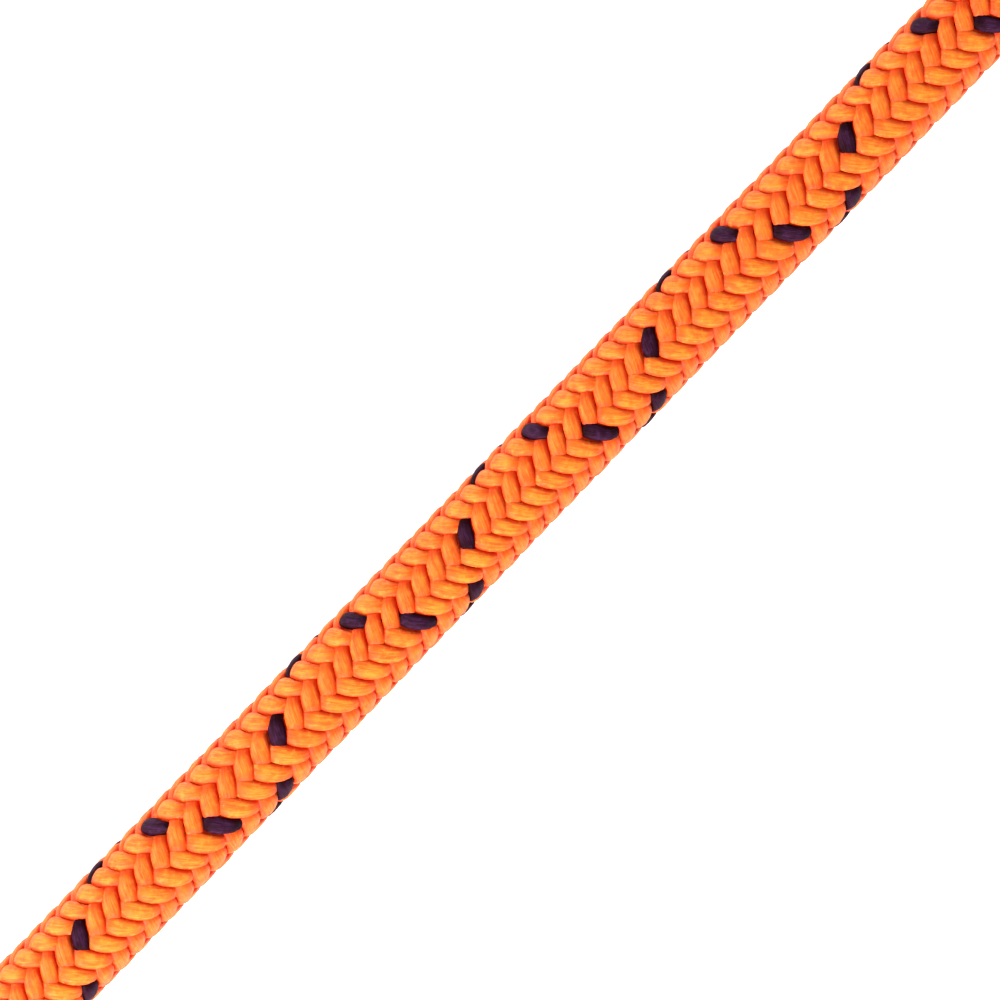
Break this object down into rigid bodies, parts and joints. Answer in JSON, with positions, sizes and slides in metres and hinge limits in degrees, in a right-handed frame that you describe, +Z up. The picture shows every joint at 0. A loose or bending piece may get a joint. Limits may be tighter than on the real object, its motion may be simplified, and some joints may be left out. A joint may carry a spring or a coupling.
{
  "type": "climbing rope",
  "caption": "Straight run of braided kernmantle climbing rope: sheath strands laid both ways round a core of twisted cords, with marked strands in the sheath. It bends along its length.",
  "frame": {"origin": "centre of the modelled length, on the rope's axis", "axes": "+X along the rope, +Z up, +Y completes a right-handed frame"},
  "size_m": [0.1816, 0.0108, 0.0108],
  "materials": {
    "sheath_orange": "bright orange polyamide yarn, soft sheen",
    "sheath_tracer": "near-black violet polyamide yarn, soft sheen",
    "core_white": "undyed twisted polyamide cord",
    "marker_tape": "thin plain polymer tape"
  },
  "bodies": {
    "rope_06": {"core_06_cord_A": "core_white", "core_06_cord_B": "core_white", "core_06_cord_C": "core_white", "sheath_right_01": "sheath_tracer", "sheath_right_02": "sheath_orange", "sheath_right_03": "sheath_orange", "sheath_right_04": "sheath_orange", "sheath_right_05": "sheath_orange", "sheath_right_06": "sheath_orange", "sheath_right_07": "sheath_orange", "sheath_right_08": "sheath_orange", "sheath_right_09": "sheath_orange", "sheath_right_10": "sheath_orange", "sheath_right_11": "sheath_orange", "sheath_right_12": "sheath_orange", "sheath_left_01": "sheath_tracer", "sheath_left_02": "sheath_orange", "sheath_left_03": "sheath_orange", "sheath_left_04": "sheath_orange", "sheath_left_05": "sheath_orange", "sheath_left_06": "sheath_orange", "sheath_left_07": "sheath_orange", "sheath_left_08": "sheath_orange", "sheath_left_09": "sheath_orange", "sheath_left_10": "sheath_orange", "sheath_left_11": "sheath_orange", "sheath_left_12": "sheath_orange", "marker_tape": "marker_tape"},
    "rope_01": {"core_01_cord_A": "core_white", "core_01_cord_B": "core_white", "core_01_cord_C": "core_white"},
    "rope_02": {"core_02_cord_A": "core_white", "core_02_cord_B": "core_white", "core_02_cord_C": "core_white"},
    "rope_03": {"core_03_cord_A": "core_white", "core_03_cord_B": "core_white", "core_03_cord_C": "core_white"},
    "rope_04": {"core_04_cord_A": "core_white", "core_04_cord_B": "core_white", "core_04_cord_C": "core_white"},
    "rope_05": {"core_05_cord_A": "core_white", "core_05_cord_B": "core_white", "core_05_cord_C": "core_white"},
    "rope_07": {"core_07_cord_A": "core_white", "core_07_cord_B": "core_white", "core_07_cord_C": "core_white"},
    "rope_08": {"core_08_cord_A": "core_white", "core_08_cord_B": "core_white", "core_08_cord_C": "core_white"},
    "rope_09": {"core_09_cord_A": "core_white", "core_09_cord_B": "core_white", "core_09_cord_C": "core_white"},
    "rope_10": {"core_10_cord_A": "core_white", "core_10_cord_B": "core_white", "core_10_cord_C": "core_white"},
    "rope_11": {"core_11_cord_A": "core_white", "core_11_cord_B": "core_white", "core_11_cord_C": "core_white"}
  },
  "joints": [
    {"name": "bend_06_07", "type": "hinge", "parent": "rope_06", "child": "rope_07", "pos_m": [0.00825, 0, 0], "axis": [0, 0, 1], "range_deg": [-30, 30], "deforming": ["sheath_right_01", "sheath_right_02", "sheath_right_03", "sheath_right_04", "sheath_right_05", "sheath_right_06", "sheath_right_07", "sheath_right_08", "sheath_right_09", "sheath_right_10", "sheath_right_11", "sheath_right_12", "sheath_left_01", "sheath_left_02", "sheath_left_03", "sheath_left_04", "sheath_left_05", "sheath_left_06", "sheath_left_07", "sheath_left_08", "sheath_left_09", "sheath_left_10", "sheath_left_11", "sheath_left_12", "marker_tape"]},
    {"name": "bend_07_08", "type": "hinge", "parent": "rope_07", "child": "rope_08", "pos_m": [0.02475, 0, 0], "axis": [0, 0, 1], "range_deg": [-30, 30], "deforming": ["sheath_right_01", "sheath_right_02", "sheath_right_03", "sheath_right_04", "sheath_right_05", "sheath_right_06", "sheath_right_07", "sheath_right_08", "sheath_right_09", "sheath_right_10", "sheath_right_11", "sheath_right_12", "sheath_left_01", "sheath_left_02", "sheath_left_03", "sheath_left_04", "sheath_left_05", "sheath_left_06", "sheath_left_07", "sheath_left_08", "sheath_left_09", "sheath_left_10", "sheath_left_11", "sheath_left_12", "marker_tape"]},
    {"name": "bend_08_09", "type": "hinge", "parent": "rope_08", "child": "rope_09", "pos_m": [0.04125, 0, 0], "axis": [0, 0, 1], "range_deg": [-30, 30], "deforming": ["sheath_right_01", "sheath_right_02", "sheath_right_03", "sheath_right_04", "sheath_right_05", "sheath_right_06", "sheath_right_07", "sheath_right_08", "sheath_right_09", "sheath_right_10", "sheath_right_11", "sheath_right_12", "sheath_left_01", "sheath_left_02", "sheath_left_03", "sheath_left_04", "sheath_left_05", "sheath_left_06", "sheath_left_07", "sheath_left_08", "sheath_left_09", "sheath_left_10", "sheath_left_11", "sheath_left_12", "marker_tape"]},
    {"name": "bend_09_10", "type": "hinge", "parent": "rope_09", "child": "rope_10", "pos_m": [0.05775, 0, 0], "axis": [0, 0, 1], "range_deg": [-30, 30], "deforming": ["sheath_right_01", "sheath_right_02", "sheath_right_03", "sheath_right_04", "sheath_right_05", "sheath_right_06", "sheath_right_07", "sheath_right_08", "sheath_right_09", "sheath_right_10", "sheath_right_11", "sheath_right_12", "sheath_left_01", "sheath_left_02", "sheath_left_03", "sheath_left_04", "sheath_left_05", "sheath_left_06", "sheath_left_07", "sheath_left_08", "sheath_left_09", "sheath_left_10", "sheath_left_11", "sheath_left_12", "marker_tape"]},
    {"name": "bend_10_11", "type": "hinge", "parent": "rope_10", "child": "rope_11", "pos_m": [0.07425, 0, 0], "axis": [0, 0, 1], "range_deg": [-30, 30], "deforming": ["sheath_right_01", "sheath_right_02", "sheath_right_03", "sheath_right_04", "sheath_right_05", "sheath_right_06", "sheath_right_07", "sheath_right_08", "sheath_right_09", "sheath_right_10", "sheath_right_11", "sheath_right_12", "sheath_left_01", "sheath_left_02", "sheath_left_03", "sheath_left_04", "sheath_left_05", "sheath_left_06", "sheath_left_07", "sheath_left_08", "sheath_left_09", "sheath_left_10", "sheath_left_11", "sheath_left_12", "marker_tape"]},
    {"name": "bend_06_05", "type": "hinge", "parent": "rope_06", "child": "rope_05", "pos_m": [-0.00825, 0, 0], "axis": [0, 0, -1], "range_deg": [-30, 30], "deforming": ["sheath_right_01", "sheath_right_02", "sheath_right_03", "sheath_right_04", "sheath_right_05", "sheath_right_06", "sheath_right_07", "sheath_right_08", "sheath_right_09", "sheath_right_10", "sheath_right_11", "sheath_right_12", "sheath_left_01", "sheath_left_02", "sheath_left_03", "sheath_left_04", "sheath_left_05", "sheath_left_06", "sheath_left_07", "sheath_left_08", "sheath_left_09", "sheath_left_10", "sheath_left_11", "sheath_left_12", "marker_tape"]},
    {"name": "bend_05_04", "type": "hinge", "parent": "rope_05", "child": "rope_04", "pos_m": [-0.02475, 0, 0], "axis": [0, 0, -1], "range_deg": [-30, 30], "deforming": ["sheath_right_01", "sheath_right_02", "sheath_right_03", "sheath_right_04", "sheath_right_05", "sheath_right_06", "sheath_right_07", "sheath_right_08", "sheath_right_09", "sheath_right_10", "sheath_right_11", "sheath_right_12", "sheath_left_01", "sheath_left_02", "sheath_left_03", "sheath_left_04", "sheath_left_05", "sheath_left_06", "sheath_left_07", "sheath_left_08", "sheath_left_09", "sheath_left_10", "sheath_left_11", "sheath_left_12", "marker_tape"]},
    {"name": "bend_04_03", "type": "hinge", "parent": "rope_04", "child": "rope_03", "pos_m": [-0.04125, 0, 0], "axis": [0, 0, -1], "range_deg": [-30, 30], "deforming": ["sheath_right_01", "sheath_right_02", "sheath_right_03", "sheath_right_04", "sheath_right_05", "sheath_right_06", "sheath_right_07", "sheath_right_08", "sheath_right_09", "sheath_right_10", "sheath_right_11", "sheath_right_12", "sheath_left_01", "sheath_left_02", "sheath_left_03", "sheath_left_04", "sheath_left_05", "sheath_left_06", "sheath_left_07", "sheath_left_08", "sheath_left_09", "sheath_left_10", "sheath_left_11", "sheath_left_12", "marker_tape"]},
    {"name": "bend_03_02", "type": "hinge", "parent": "rope_03", "child": "rope_02", "pos_m": [-0.05775, 0, 0], "axis": [0, 0, -1], "range_deg": [-30, 30], "deforming": ["sheath_right_01", "sheath_right_02", "sheath_right_03", "sheath_right_04", "sheath_right_05", "sheath_right_06", "sheath_right_07", "sheath_right_08", "sheath_right_09", "sheath_right_10", "sheath_right_11", "sheath_right_12", "sheath_left_01", "sheath_left_02", "sheath_left_03", "sheath_left_04", "sheath_left_05", "sheath_left_06", "sheath_left_07", "sheath_left_08", "sheath_left_09", "sheath_left_10", "sheath_left_11", "sheath_left_12", "marker_tape"]},
    {"name": "bend_02_01", "type": "hinge", "parent": "rope_02", "child": "rope_01", "pos_m": [-0.07425, 0, 0], "axis": [0, 0, -1], "range_deg": [-30, 30], "deforming": ["sheath_right_01", "sheath_right_02", "sheath_right_03", "sheath_right_04", "sheath_right_05", "sheath_right_06", "sheath_right_07", "sheath_right_08", "sheath_right_09", "sheath_right_10", "sheath_right_11", "sheath_right_12", "sheath_left_01", "sheath_left_02", "sheath_left_03", "sheath_left_04", "sheath_left_05", "sheath_left_06", "sheath_left_07", "sheath_left_08", "sheath_left_09", "sheath_left_10", "sheath_left_11", "sheath_left_12", "marker_tape"]}
  ]
}
